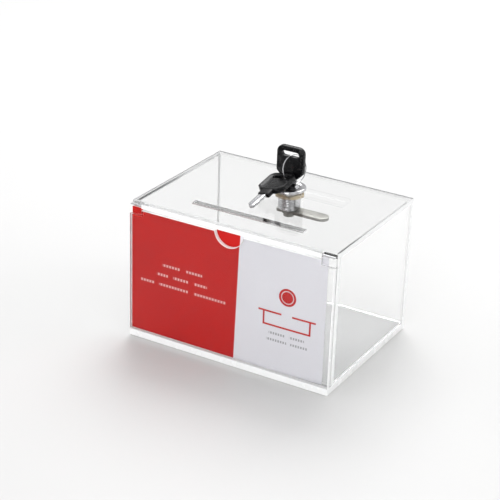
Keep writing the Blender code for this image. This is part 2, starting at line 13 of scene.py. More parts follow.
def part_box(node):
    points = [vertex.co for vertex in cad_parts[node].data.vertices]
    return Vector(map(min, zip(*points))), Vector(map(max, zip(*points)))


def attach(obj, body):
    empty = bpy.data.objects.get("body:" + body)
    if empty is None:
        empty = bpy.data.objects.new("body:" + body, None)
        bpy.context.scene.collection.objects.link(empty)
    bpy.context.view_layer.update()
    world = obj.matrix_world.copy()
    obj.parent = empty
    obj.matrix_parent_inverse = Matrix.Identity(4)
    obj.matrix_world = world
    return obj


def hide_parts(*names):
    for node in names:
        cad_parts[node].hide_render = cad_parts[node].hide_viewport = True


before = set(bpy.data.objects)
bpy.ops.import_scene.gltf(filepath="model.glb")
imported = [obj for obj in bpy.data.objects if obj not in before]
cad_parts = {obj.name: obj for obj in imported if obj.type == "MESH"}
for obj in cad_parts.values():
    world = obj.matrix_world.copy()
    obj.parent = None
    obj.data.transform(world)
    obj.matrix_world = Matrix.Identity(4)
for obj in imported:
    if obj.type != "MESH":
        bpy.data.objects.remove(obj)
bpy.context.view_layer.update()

MM = 0.001

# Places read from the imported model
LID_LOW, LID_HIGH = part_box("lid_panel")
WINDOW_LOW, WINDOW_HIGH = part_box("sign_window")
SIGN_LOW, SIGN_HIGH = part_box("sign_insert")
BLOCK_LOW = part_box("hinge_block_right")[0]
PIN_LOW, PIN_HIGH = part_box("hinge_pin_right")
HOUSING_LOW, HOUSING_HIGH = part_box("lock_housing")
NUT_LOW, NUT_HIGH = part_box("lock_nut")
CAM_LOW, CAM_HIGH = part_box("cam")
BOW_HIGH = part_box("key_bow")[1]
LOCK_Y = (HOUSING_LOW.y + HOUSING_HIGH.y) / 2

# Gaps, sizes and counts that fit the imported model
GAP = 0.3 * MM
PIN_BORE_RADIUS = 0.9 * MM
HINGE_Y = (PIN_LOW.y + PIN_HIGH.y) / 2
HINGE_Z = (PIN_LOW.z + PIN_HIGH.z) / 2
LID_NOTCH_DEPTH = 3.9 * MM
SLOT_HALF_LENGTH = 43.25 * MM
SLOT_HALF_WIDTH = 2.5 * MM
SLOT_Y = -33.0 * MM
BARREL_RADIUS = 8.0 * MM
BARREL_FLAT = 6.9 * MM
PLUG_FACE_HOLE = 6.9 * MM
PLUG_BORE = 5.9 * MM
PLUG_FACE_RECESS = 1.5 * MM
WAFER_COUNT = 5
CAM_CORNER = 2.0 * MM
CAM_HOLE_HALF = 3.3 * MM
THUMB_RADIUS = 11.0 * MM
THUMB_RISE = 1.2 * MM

# Finer details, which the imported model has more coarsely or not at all
POLISHED_ROUND = 0.28 * MM
MESH_MERGE = 0.001 * MM
THREAD_PITCH = 1.25 * MM
THREAD_DEPTH = 0.22 * MM
THREAD_ROWS = 100
FLANGE_ROUND = 0.9 * MM
CAM_ROUND = 0.3 * MM
NUT_CHAMFER = 0.4 * MM
NUT_FACE_INSET = 0.2 * MM
NUT_SLOPE = 1.9
NUT_LEVELS = (0.0, 0.04, 0.1, 0.16, 0.22, 0.3, 0.5, 0.7, 0.78, 0.84, 0.9, 0.96, 1.0)

# Printed sheet: it lies near the window, and its right end curls back into the pocket
PAPER_THICKNESS = 0.3 * MM
PAPER_CLEARANCE = 0.35 * MM
PAPER_COLUMNS = 90
CURL_LENGTH = 42 * MM
CURL_DEPTH = 1.0 * MM

# Key sizes, measured from the middle of the bow's slot, with roundings that only this model has
BOW_WIDTH = 21.0 * MM
BOW_HEIGHT = 23.0 * MM
BOW_THICKNESS = 4.0 * MM
BOW_ROUND = 4.7 * MM
BOW_CHAMFER = 4.5 * MM
BOW_TOP = 5.4 * MM
BOW_RIM = 2.2 * MM
BOW_RECESS = 0.4 * MM
BOW_CORNER_EASE = 0.7 * MM
BOW_EDGE_ROUND = 0.22 * MM
SLOT_LENGTH = 13.5 * MM
SLOT_HEIGHT = 3.8 * MM
COLLAR_WIDTH = 8.8 * MM
COLLAR_THICKNESS = 3.4 * MM
COLLAR_LENGTH = 6.0 * MM
COLLAR_OVERLAP = 2 * MM
COLLAR_ROUND = 0.6 * MM
BLADE_WIDTH = 7.0 * MM
BLADE_THICKNESS = 2.0 * MM
BLADE_LENGTH = 22.0 * MM
TANG_LENGTH = 4.0 * MM
TANG_CLEARANCE = 0.1 * MM
BLADE_CUTS = (1.3, 0.7, 1.5, 0.9, 1.2)
BLADE_CUT_PITCH = 2.6 * MM
BLADE_FIRST_CUT = 3.4 * MM
BLADE_CUT_HALF = 0.35 * MM
BLADE_GROOVE = 0.45 * MM
BLADE_GROOVE_SIDES = (-2.1 * MM, -0.9 * MM)
BLADE_EDGE_ROUND = 0.12 * MM
SPARE_END = Vector((-2.5, 20.5, 112.3)) * MM
SPARE_BLADE = Vector((-0.03, -0.98, -0.19)).normalized()
SPARE_SIDE = Vector((0.975, 0.0, 0.2))

# Split ring: its wire's radius, the step between its turns, how it hangs, and how its wire is drawn
RING_RADIUS = 9.9 * MM
RING_WIRE = 0.24 * MM
RING_STEP = 0.46 * MM
RING_CENTRE = Vector((3.0 * MM, LOCK_Y, 117.4 * MM))
RING_DOWN = Vector((0.27, 0.0, -0.963)).normalized()
RING_ACROSS = Vector((0.38, 0.92, 0.1))
RING_POINTS = 150
RING_TURNS = 1.97
RING_START = 0.12
RING_CROSSING = 14.0

# How bright the surroundings are: in their darker bars, all round, and overhead
ROOM_LIGHT = 0.25
STUDIO_LIGHT = 0.88
OVERHEAD_LIGHT = 1.0

# The darker bars: how many there are, how far they are turned, and how high up they have faded out
BAR_COUNT = 3.0
BAR_TURN = 1.2
BAR_TOP = 0.62

# Soft lights: name, place, size and power. All of them aim at one point
LIGHT_TARGET = Vector((0.0, 0.0, 0.05))
LIGHTS = (
    ("back_softbox", Vector((-0.30, 0.80, 1.10)), 0.9, 12.0),
    ("right_softbox", Vector((1.30, 0.50, 0.80)), 0.8, 3.5),
    ("front_fill", Vector((0.15, -1.60, 0.42)), 0.9, 8.5),
)
FLOOR_HALF = 6.0
FLOOR_DROP = 0.2 * MM
FLOOR_GREYS = ((0.65, 0.648, 0.642), (0.665, 0.661, 0.656))

# Refraction of the sheets, which also sets how much they reflect. They are below acrylic's own 1.49
SHEET_BEND = 1.2
LID_BEND = 1.45
WINDOW_BEND = 1.2
BLOCK_BEND = 1.06

# How much light the edges and the base sheet pass, and how hazy a weld is. What the edges and the base hold
# back shows as milky white: painted glow on the edges, painted light inside the box on the base
EDGE_CLEAR = 0.05
BASE_CLEAR = 0.35
WELD_HAZE = 0.5

# Which edges show: those in front of this, where the sign's pocket is open, and those this near the outside
POCKET_END = LID_LOW.y + 8.6 * MM
EDGE_REACH = 0.4 * MM

# Camera: where it looks from, in degrees and metres, with its lens in millimetres
CAMERA_AZIMUTH = 29.736
CAMERA_ELEVATION = 24.74
CAMERA_ROLL = 1.982
CAMERA_DISTANCE = 1.10074
CAMERA_SHIFT = (-0.014228, 0.011761)
CAMERA_LENS = 113.48
SENSOR_WIDTH = 36.0
CAMERA_TARGET = Vector((0.0, 0.0, LID_HIGH.z / 2))


# ---------------------------------------------------------------- meshes

def arc(centre_x, centre_y, radius, start, end, steps):
    """Points on an arc, angles in degrees, both ends included."""
    turns = [math.radians(start + (end - start) * i / steps) for i in range(steps + 1)]
    return [(centre_x + radius * math.cos(t), centre_y + radius * math.sin(t)) for t in turns]


def axes(origin, x_axis, z_axis):
    """Matrix with the given origin, its Z along z_axis, and its X as near x_axis as it can be."""
    z = z_axis.normalized()
    x = (x_axis - z * x_axis.dot(z)).normalized()
    turn = Matrix((x, z.cross(x), z)).transposed().to_4x4()
    return Matrix.Translation(origin) @ turn


def object_from(shape, name, matrix=None):
    """Object made from a bmesh, with its place worked into its mesh."""
    if matrix is not None:
        shape.transform(matrix)
    bmesh.ops.recalc_face_normals(shape, faces=shape.faces)
    mesh = bpy.data.meshes.new(name)
    shape.to_mesh(mesh)
    shape.free()
    obj = bpy.data.objects.new(name, mesh)
    bpy.context.scene.collection.objects.link(obj)
    return obj


def box_object(name, low, high, matrix=None):
    """Box between two corners."""
    shape = bmesh.new()
    bmesh.ops.create_cube(shape, size=1.0)
    bmesh.ops.scale(shape, vec=Vector(high) - Vector(low), verts=shape.verts)
    bmesh.ops.translate(shape, vec=(Vector(low) + Vector(high)) / 2, verts=shape.verts)
    return object_from(shape, name, matrix)


def rod_object(name, radius, start, end, sides=24):
    """Cylinder between two points."""
    span = Vector(end) - Vector(start)
    turn = span.to_track_quat("Z", "Y").to_matrix().to_4x4()
    place = Matrix.Translation((Vector(start) + Vector(end)) / 2) @ turn
    shape = bmesh.new()
    size = {"radius1": radius, "radius2": radius, "depth": span.length}
    bmesh.ops.create_cone(shape, cap_ends=True, segments=sides, **size)
    return object_from(shape, name, place)


def rectangle(left, right, bottom, top):
    """Corners of a rectangle, in order."""
    return [(left, bottom), (right, bottom), (right, top), (left, top)]


def shape_of_curve(curve_object):
    """Bmesh made from a curve's object, with its doubled points merged. The object is removed."""
    bpy.context.scene.collection.objects.link(curve_object)
    bpy.context.view_layer.update()
    shown = curve_object.evaluated_get(bpy.context.evaluated_depsgraph_get())
    mesh = bpy.data.meshes.new_from_object(shown)
    bpy.data.objects.remove(curve_object)
    shape = bmesh.new()
    shape.from_mesh(mesh)
    bpy.data.meshes.remove(mesh)
    bmesh.ops.remove_doubles(shape, verts=shape.verts, dist=MESH_MERGE)
    return shape


def plate_object(name, outlines, thickness, matrix):
    """Plate in the matrix's XY plane, half its thickness on each side. Outlines after the first are holes."""
    curve = bpy.data.curves.new(name + "_outline", "CURVE")
    curve.dimensions = "2D"
    curve.fill_mode = "BOTH"
    curve.extrude = thickness / 2
    for outline in outlines:
        spline = curve.splines.new("POLY")
        spline.points.add(len(outline) - 1)
        for point, (x, y) in zip(spline.points, outline):
            point.co = (x, y, 0.0, 1.0)
        spline.use_cyclic_u = True
    shape = shape_of_curve(bpy.data.objects.new(name + "_outline", curve))
    bmesh.ops.dissolve_limit(shape, angle_limit=math.radians(1), verts=shape.verts, edges=shape.edges)
    return object_from(shape, name, matrix)


def loft_object(name, loops, matrix=None):
    """Closed surface through loops with the same number of points. The first and last loops are capped."""
    shape = bmesh.new()
    rings = [[shape.verts.new(point) for point in loop] for loop in loops]
    for first, second in zip(rings, rings[1:]):
        count = len(first)
        for i in range(count):
            j = (i + 1) % count
            shape.faces.new((first[i], first[j], second[j], second[i]))
    shape.faces.new(rings[0])
    shape.faces.new(rings[-1])
    return object_from(shape, name, matrix)


def ring_object(name, levels, steps, place):
    """Ring-shaped body. Levels are a closed loop of (radius, height), and place turns one into a point."""
    shape = bmesh.new()
    turns = [2 * math.pi * i / steps for i in range(steps)]
    rings = [[shape.verts.new(place(radius, turn, height)) for turn in turns] for radius, height in levels]
    for first, second in zip(rings, rings[1:] + rings[:1]):
        for i in range(steps):
            j = (i + 1) % steps
            shape.faces.new((first[i], first[j], second[j], second[i]))
    return object_from(shape, name)


def bevel(obj, width, segments=2, angle=40):
    """Rounds an object's edges."""
    edge = obj.modifiers.new("Edges", "BEVEL")
    edge.width = width
    edge.segments = segments
    edge.limit_method = "ANGLE"
    edge.angle_limit = math.radians(angle)
    return obj


def boolean(obj, tool, operation="DIFFERENCE"):
    """Cuts an object with a tool, or joins the tool to it, and removes the tool."""
    made = obj.modifiers.new("Cut", "BOOLEAN")
    made.operation = operation
    made.solver = "EXACT"
    made.object = tool
    apply_modifiers(obj)
    bpy.data.objects.remove(tool)
    return obj


def apply_modifiers(obj):
    """Replaces an object's mesh by its evaluated mesh."""
    bpy.context.view_layer.update()
    mesh = bpy.data.meshes.new_from_object(obj.evaluated_get(bpy.context.evaluated_depsgraph_get()))
    obj.modifiers.clear()
    obj.data = mesh


def smooth(obj, angle=35):
    """Shades an object smooth apart from its sharp edges."""
    obj.data.shade_smooth()
    obj.data.set_sharp_from_angle(angle=math.radians(angle))


def place_piece(obj, material, body, slot, *nodes, flat=False):
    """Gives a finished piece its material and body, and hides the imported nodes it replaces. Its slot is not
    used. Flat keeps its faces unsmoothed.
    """
    apply_modifiers(obj)
    if flat:
        obj.data.shade_flat()
    else:
        smooth(obj)
    obj.data.materials.clear()
    obj.data.materials.append(material)
    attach(obj, body)
    if nodes:
        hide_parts(*nodes)
    return obj


def repaint(name, material):
    """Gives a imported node, which keeps its own shape, one material."""
    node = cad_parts[name]
    node.data.materials.clear()
    node.data.materials.append(material)
    return node


# ---------------------------------------------------------------- materials

class Nodes:
    """A node tree, its coordinates, and short ways to add nodes."""

    def __init__(self, tree, coordinates):
        self.tree = tree
        self.where = tree.nodes.new("ShaderNodeTexCoord").outputs[coordinates]

    def feed(self, socket, value):
        """Puts a number, a colour or an output into a node's socket."""
        if isinstance(value, bpy.types.NodeSocket):
            self.tree.links.new(value, socket)
        else:
            socket.default_value = value

    def math(self, operation, first, second=0.0, third=0.0):
        """Math node."""
        node = self.tree.nodes.new("ShaderNodeMath")
        node.operation = operation
        for socket, value in zip(node.inputs, (first, second, third)):
            self.feed(socket, value)
        return node.outputs[0]

    def mix(self, factor, first, second):
        """Colour between two colours."""
        node = self.tree.nodes.new("ShaderNodeMix")
        node.data_type = "RGBA"
        self.feed(node.inputs["Factor"], factor)
        for socket, value in ((node.inputs[6], first), (node.inputs[7], second)):
            self.feed(socket, (*value, 1.0) if isinstance(value, tuple) else value)
        return node.outputs[2]

    def span(self, value, from_low, from_high, to_low, to_high):
        """Value moved from one range to another, and held inside it."""
        node = self.tree.nodes.new("ShaderNodeMapRange")
        numbers = (value, from_low, from_high, to_low, to_high)
        for socket, number in zip(node.inputs, numbers):
            self.feed(socket, number)
        return node.outputs[0]

    def stretched(self, scale):
        """The object's coordinates, in metres, with a scale on each axis."""
        node = self.tree.nodes.new("ShaderNodeMapping")
        node.inputs["Scale"].default_value = scale
        self.tree.links.new(self.where, node.inputs["Vector"])
        return node.outputs[0]

    def noise(self, scale, detail=3.0, vector=None):
        """Noise on the object's coordinates. A scale of 1000 has features of about a millimetre."""
        node = self.tree.nodes.new("ShaderNodeTexNoise")
        node.inputs["Scale"].default_value = scale
        node.inputs["Detail"].default_value = detail
        self.tree.links.new(self.where if vector is None else vector, node.inputs["Vector"])
        return node.outputs[0]

    def parts(self, vector):
        """The X, Y and Z of a vector."""
        node = self.tree.nodes.new("ShaderNodeSeparateXYZ")
        self.tree.links.new(vector, node.inputs[0])
        return node.outputs


class Recipe(Nodes):
    """A material being made, with its Principled shader."""

    def __init__(self, name):
        self.material = bpy.data.materials.new(name)
        self.material.use_nodes = True
        super().__init__(self.material.node_tree, "Object")
        self.shader = self.tree.nodes["Principled BSDF"]

    def set(self, **values):
        """Sets the shader's own sockets. A name's underscores are spaces."""
        for key, value in values.items():
            self.shader.inputs[key.replace("_", " ")].default_value = value

    def link(self, output, socket):
        """Joins an output to a socket of the shader."""
        self.tree.links.new(output, self.shader.inputs[socket])

    def bump(self, height, distance):
        """Relief of a height from 0 to 1 times a distance in metres."""
        node = self.tree.nodes.new("ShaderNodeBump")
        node.inputs["Distance"].default_value = distance
        self.tree.links.new(height, node.inputs["Height"])
        self.link(node.outputs[0], "Normal")


def acrylic(name, bend, clear=1.0, haze=0.0):
    """Clear cast sheet: a trace of tint, faint handling marks, and hairline scratches.

    Bend is its refraction, clear the share of light that passes through it, and haze its least roughness.
    """
    tint = (0.998, 1.0, 0.9995)
    recipe = Recipe(name)
    recipe.set(IOR=bend, Transmission_Weight=clear)
    marks = recipe.noise(28.0, 4.0)
    dust = recipe.span(marks, 0.35, 0.75, 0.0, 1.0)
    recipe.link(recipe.mix(dust, tint, tuple(0.997 * c for c in tint)), "Base Color")
    recipe.link(recipe.span(marks, 0.45, 0.80, haze, haze + 0.02), "Roughness")
    hairlines = recipe.noise(1.0, 2.0, recipe.stretched((90.0, 90.0, 1400.0)))
    recipe.bump(recipe.span(hairlines, 0.55, 0.75, 0.0, 1.0), 0.0004 * MM)
    return recipe.material


def acrylic_painted_glow_edge(name):
    """Edge of the sheet: near-opaque milky white, a painted glow that stands in for light piped along the
    sheet, with fine saw marks along it.
    """
    recipe = Recipe(name)
    recipe.set(IOR=SHEET_BEND, Transmission_Weight=EDGE_CLEAR)
    marks = recipe.noise(120.0, 2.0)
    worn = recipe.span(marks, 0.35, 0.7, 0.0, 1.0)
    # Milky white colour: painted glow of light piped along the sheet to its edge
    recipe.link(recipe.mix(worn, (0.985, 0.987, 0.985), (0.95, 0.955, 0.95)), "Base Color")
    recipe.link(recipe.span(marks, 0.3, 0.7, 0.2, 0.3), "Roughness")
    return recipe.material


def metal(name, colour, roughness, brush=(900.0, 900.0, 900.0), depth=0.002 * MM, tarnish=0.9):
    """Plated or brushed metal: uneven gloss, a little tarnish, and fine marks along one direction."""
    recipe = Recipe(name)
    recipe.set(Metallic=1.0)
    patches = recipe.noise(160.0, 4.0)
    grain = recipe.noise(1.0, 3.0, recipe.stretched(brush))
    dull = recipe.span(patches, 0.45, 0.75, 0.0, 1.0)
    recipe.link(recipe.mix(dull, colour, tuple(tarnish * c for c in colour)), "Base Color")
    worn = recipe.span(patches, 0.3, 0.7, roughness, roughness * 1.5)
    recipe.link(recipe.math("MULTIPLY_ADD", grain, roughness * 0.5, worn), "Roughness")
    recipe.bump(grain, depth)
    return recipe.material


def black_plastic(name):
    """Moulded bow: half gloss with spark-eroded grain and a few lighter rubs."""
    recipe = Recipe(name)
    rubs = recipe.noise(240.0, 4.0)
    rub = recipe.span(rubs, 0.58, 0.75, 0.0, 1.0)
    recipe.link(recipe.mix(rub, (0.004, 0.004, 0.0045), (0.012, 0.012, 0.013)), "Base Color")
    recipe.link(recipe.span(rubs, 0.3, 0.7, 0.20, 0.32), "Roughness")
    recipe.set(Specular_IOR_Level=0.22)
    recipe.bump(recipe.noise(5200.0, 2.0), 0.012 * MM)
    return recipe.material


# ---------------------------------------------------------------- sign print

RED = (0.60, 0.012, 0.010)
DEEP_RED = (0.47, 0.012, 0.014)
PALE = (0.84, 0.83, 0.875)
INK_WHITE = (0.90, 0.62, 0.60)
INK_GREY = (0.30, 0.29, 0.31)
EMBLEM_RED = (0.56, 0.022, 0.022)
BACK_WHITES = ((0.88, 0.87, 0.86), (0.84, 0.83, 0.82))
BACK_PINK = (0.75, 0.35, 0.33)
BACK_SHOW_THROUGH = 0.22

# The sign's drawing, in millimetres: where its halves meet, its dashes, and its coin over an open tray
SPLIT_FOOT = 4.6
SPLIT_SLOPE = 0.025
MESSAGE_HEIGHT = 1.9
MESSAGE_PERIOD = 2.3
SMALL_HEIGHT = 1.7
SMALL_PERIOD = 1.9
DASH_SHARE = 0.62
INK_STRENGTH = 0.8
EMBLEM_ACROSS = 44.5
COIN_UP = 62.0
COIN_RADIUS = 6.4
COIN_RING = 4.5
COIN_LINE = 0.7
COIN_RING_STRENGTH = 0.7
TRAY_LINE = 1.3
TRAY_REACH = 21.5
TRAY_MOUTH = 4.0
TRAY_SIDE = 18.0
TRAY_TOP = 48.6
TRAY_MIDDLE = 43.6
TRAY_DEPTH = 10.0
TRAY_BOTTOM = 38.9


class Print(Recipe):
    """The sign's face. Places are in millimetres: across is the frame's X and up is its Z."""

    def __init__(self, name):
        super().__init__(name)
        x, _, z = self.parts(self.where)
        self.across = self.math("MULTIPLY", x, 1000.0)
        self.up = self.math("MULTIPLY", z, 1000.0)

    def inside(self, distance, soft=0.12):
        """1 where a signed distance in millimetres is below zero, with a soft edge."""
        return self.span(distance, -soft, soft, 1.0, 0.0)

    def off(self, value, centre, half):
        """How far a value lies outside centre plus or minus half."""
        away = self.math("ABSOLUTE", self.math("SUBTRACT", value, centre))
        return self.math("SUBTRACT", away, half)

    def bar(self, left, right, middle, height):
        """Rectangle."""
        across = self.off(self.across, (left + right) / 2, (right - left) / 2)
        up = self.off(self.up, middle, height / 2)
        return self.inside(self.math("MAXIMUM", across, up))

    def dotted(self, shape, period, share):
        """A shape broken into even dashes."""
        phase = self.math("FRACT", self.math("DIVIDE", self.across, period))
        on = self.inside(self.math("MULTIPLY", self.off(phase, 0.5, share / 2), period))
        return self.math("MULTIPLY", shape, on)

    def radius(self, across, up):
        """Distance from a point."""
        first = self.math("SUBTRACT", self.across, across)
        second = self.math("SUBTRACT", self.up, up)
        squares = self.math("MULTIPLY_ADD", first, first, self.math("MULTIPLY", second, second))
        return self.math("SQRT", squares)

    def disc(self, across, up, radius):
        """Filled circle."""
        return self.inside(self.math("SUBTRACT", self.radius(across, up), radius))

    def circle(self, across, up, radius, line):
        """Circle drawn as a line."""
        return self.inside(self.off(self.radius(across, up), radius, line / 2))

    def either(self, *shapes):
        """Union of shapes."""
        joined = shapes[0]
        for shape in shapes[1:]:
            joined = self.math("MAXIMUM", joined, shape)
        return joined

    def red_half(self, soft):
        """1 on the left of the sign's slightly slanting division."""
        division = self.math("MULTIPLY_ADD", self.up, SPLIT_SLOPE, SPLIT_FOOT)
        return self.inside(self.math("SUBTRACT", self.across, division), soft)

    def dashes(self, lines, height, period):
        """Lines of blank dashes, with gaps between words."""
        words = [self.bar(left, right, middle, height) for line in lines for left, right, middle in line]
        return self.dotted(self.either(*words), period, DASH_SHARE)

    def tray(self):
        """Open tray drawn as lines: two lips, two sides and a bottom."""
        lines = [self.bar(EMBLEM_ACROSS - TRAY_SIDE, EMBLEM_ACROSS + TRAY_SIDE, TRAY_BOTTOM, TRAY_LINE)]
        for sign in (-1, 1):
            lip = sorted((EMBLEM_ACROSS + sign * TRAY_REACH, EMBLEM_ACROSS + sign * TRAY_MOUTH))
            side = sorted((EMBLEM_ACROSS + sign * TRAY_SIDE, EMBLEM_ACROSS + sign * (TRAY_SIDE - TRAY_LINE)))
            lines.append(self.bar(*lip, TRAY_TOP, TRAY_LINE))
            lines.append(self.bar(*side, TRAY_MIDDLE, TRAY_DEPTH))
        return self.either(*lines)


# Lines of blank dashes that stand for a message: (left, right, height of the middle), with gaps between words
MESSAGE = (
    ((-53.5, -39.5, 59.8), (-34.5, -21.5, 59.8)),
    ((-58.0, -49.0, 52.2), (-44.5, -32.5, 52.2), (-28.0, -17.5, 52.2)),
    ((-71.5, -60.0, 44.8), (-56.0, -32.0, 44.8), (-28.0, -2.5, 44.8)),
)
SMALL_LINES = (
    ((31.5, 43.5, 33.2), (47.0, 58.0, 33.2)),
    ((29.8, 45.0, 28.2), (48.0, 60.5, 28.2)),
)


def sign_face():
    """Printed front: a red half with pale dashes, and a pale half with a coin over an open tray."""
    sheet = Print("sign_print")
    fibre = sheet.noise(900.0, 3.0)
    cloud = sheet.noise(14.0, 2.0)
    red = sheet.mix(sheet.span(cloud, 0.3, 0.7, 0.0, 0.35), RED, DEEP_RED)
    pale = sheet.mix(sheet.span(cloud, 0.35, 0.7, 0.0, 0.5), PALE, tuple(0.95 * c for c in PALE))
    colour = sheet.mix(sheet.red_half(0.15), pale, red)
    message = sheet.dashes(MESSAGE, MESSAGE_HEIGHT, MESSAGE_PERIOD)
    colour = sheet.mix(sheet.math("MULTIPLY", message, INK_STRENGTH), colour, INK_WHITE)
    small = sheet.dashes(SMALL_LINES, SMALL_HEIGHT, SMALL_PERIOD)
    colour = sheet.mix(sheet.math("MULTIPLY", small, INK_STRENGTH), colour, INK_GREY)
    coin = sheet.disc(EMBLEM_ACROSS, COIN_UP, COIN_RADIUS)
    colour = sheet.mix(sheet.either(coin, sheet.tray()), colour, EMBLEM_RED)
    ring = sheet.circle(EMBLEM_ACROSS, COIN_UP, COIN_RING, COIN_LINE)
    colour = sheet.mix(sheet.math("MULTIPLY", ring, COIN_RING_STRENGTH), colour, PALE)
    sheet.link(colour, "Base Color")
    sheet.link(sheet.span(fibre, 0.3, 0.7, 0.42, 0.55), "Roughness")
    sheet.set(Specular_IOR_Level=0.15)
    sheet.bump(fibre, 0.004 * MM)
    return sheet.material


def sign_back():
    """Unprinted back, with the red half showing through faintly."""
    sheet = Print("sign_paper_back")
    fibre = sheet.noise(700.0, 4.0)
    white = sheet.mix(sheet.span(fibre, 0.3, 0.7, 0.0, 1.0), *BACK_WHITES)
    through = sheet.math("MULTIPLY", sheet.red_half(1.0), BACK_SHOW_THROUGH)
    sheet.link(sheet.mix(through, white, BACK_PINK), "Base Color")
    sheet.link(sheet.span(fibre, 0.3, 0.7, 0.6, 0.8), "Roughness")
    sheet.bump(fibre, 0.006 * MM)
    return sheet.material


def make_sign():
    """Thin printed sheet in the pocket: flat against the window, easing back at its right end."""
    front = WINDOW_HIGH.y + PAPER_CLEARANCE
    curl_start = SIGN_HIGH.x - CURL_LENGTH
    low = SIGN_LOW.z
    high = SIGN_HIGH.z
    loops = []
    for i in range(PAPER_COLUMNS + 1):
        x = SIGN_LOW.x + (SIGN_HIGH.x - SIGN_LOW.x) * i / PAPER_COLUMNS
        t = max(0.0, (x - curl_start) / (SIGN_HIGH.x - curl_start))
        y = front + CURL_DEPTH * t * t
        back = y + PAPER_THICKNESS
        loops.append([(x, y, low), (x, y, high), (x, back, high), (x, back, low)])
    sign = loft_object("sign_sheet", loops)
    place_piece(sign, sign_face(), "box", "printed_sign", "sign_insert")
    sign.data.materials.append(sign_back())
    for face in sign.data.polygons:
        if face.normal.y > -0.5:
            face.material_index = 1


# ---------------------------------------------------------------- acrylic

def in_the_open(place):
    """Whether a point is on the box's outside or at its front corners. Elsewhere, sheets are welded."""
    beside = abs(place.x) > LID_HIGH.x - EDGE_REACH
    behind = place.y > LID_HIGH.y - EDGE_REACH
    return beside or behind or place.y < POCKET_END


def mark_edges(obj, edge, weld, shows=in_the_open):
    """Gives a sheet's narrow faces the edge material where they show, and the weld's elsewhere.

    Shows says whether a point of the sheet is in the open.
    """
    sizes = obj.dimensions
    thin = min(range(3), key=lambda axis: sizes[axis])
    obj.data.materials.append(edge)
    obj.data.materials.append(weld)
    for face in obj.data.polygons:
        if abs(face.normal[thin]) < 0.99:
            face.material_index = 1 if shows(obj.matrix_world @ face.center) else 2


def make_acrylic():
    """Clear sheets. The lid and the sign window are made again with rounded edges and a finer outline."""
    clear = acrylic("acrylic_clear", SHEET_BEND)
    window = acrylic("acrylic_window", WINDOW_BEND)
    weld = acrylic("acrylic_weld", SHEET_BEND, haze=WELD_HAZE)
    block = acrylic("acrylic_block", BLOCK_BEND)
    # The base sheet is part milky white: painted light that brightens the shaded inside of the box
    base_painted_light = acrylic("acrylic_base_painted_light", SHEET_BEND, BASE_CLEAR)
    # Edge faces are milky white: painted glow for light piped along the sheets
    edge = acrylic_painted_glow_edge("acrylic_painted_glow_edge")
    mark_edges(repaint("base_panel", base_painted_light), edge, weld)
    for name in ("back_wall", "left_wall", "right_wall", "inner_front_wall"):
        mark_edges(repaint(name, clear), edge, weld)
    for name in ("hinge_block_left", "hinge_block_right", "cam_catch"):
        repaint(name, block)
    make_lid(acrylic("acrylic_lid", LID_BEND), edge)
    make_window(window, edge, weld)


def make_lid(clear, edge):
    """Lid sheet with its money slot, lock hole, corner notches and pin bores.

    Known fault: the cut leaves a flat disc across each pin bore's mouth, and the pin passes through it.
    """
    notch_x = BLOCK_LOW.x - GAP
    notch_y = LID_LOW.y + LID_NOTCH_DEPTH
    right = [(notch_x, LID_LOW.y), (notch_x, notch_y), (LID_HIGH.x, notch_y), (LID_HIGH.x, LID_HIGH.y)]
    outer = right + [(-x, y) for x, y in reversed(right)]
    slot_low = SLOT_Y - SLOT_HALF_WIDTH
    slot_high = SLOT_Y + SLOT_HALF_WIDTH
    slot = rectangle(-SLOT_HALF_LENGTH, SLOT_HALF_LENGTH, slot_low, slot_high)
    radius = BARREL_RADIUS + GAP
    flat = math.degrees(math.acos((BARREL_FLAT + GAP) / radius))
    hole = arc(0.0, LOCK_Y, radius, flat, 180 - flat, 28)
    hole += arc(0.0, LOCK_Y, radius, 180 + flat, 360 - flat, 28)
    thickness = LID_HIGH.z - LID_LOW.z
    place = Matrix.Translation((0.0, 0.0, (LID_HIGH.z + LID_LOW.z) / 2))
    lid = plate_object("lid_sheet", [outer, slot, hole], thickness, place)
    bevel(lid, POLISHED_ROUND, 2, 50)
    apply_modifiers(lid)
    for sign in (-1, 1):
        inner = (sign * (PIN_LOW.x - GAP), HINGE_Y, HINGE_Z)
        outer_end = (sign * LID_HIGH.x, HINGE_Y, HINGE_Z)
        boolean(lid, rod_object("pin_bore", PIN_BORE_RADIUS, inner, outer_end))
    place_piece(lid, clear, "lid", "acrylic", "lid_panel", flat=True)

    def shows(at):
        """Whether a point is in the open and not in a corner notch."""
        in_notch = abs(at.x) > notch_x - MM and at.y < notch_y + MM
        return in_the_open(at) and not in_notch

    mark_edges(lid, edge, clear, shows)


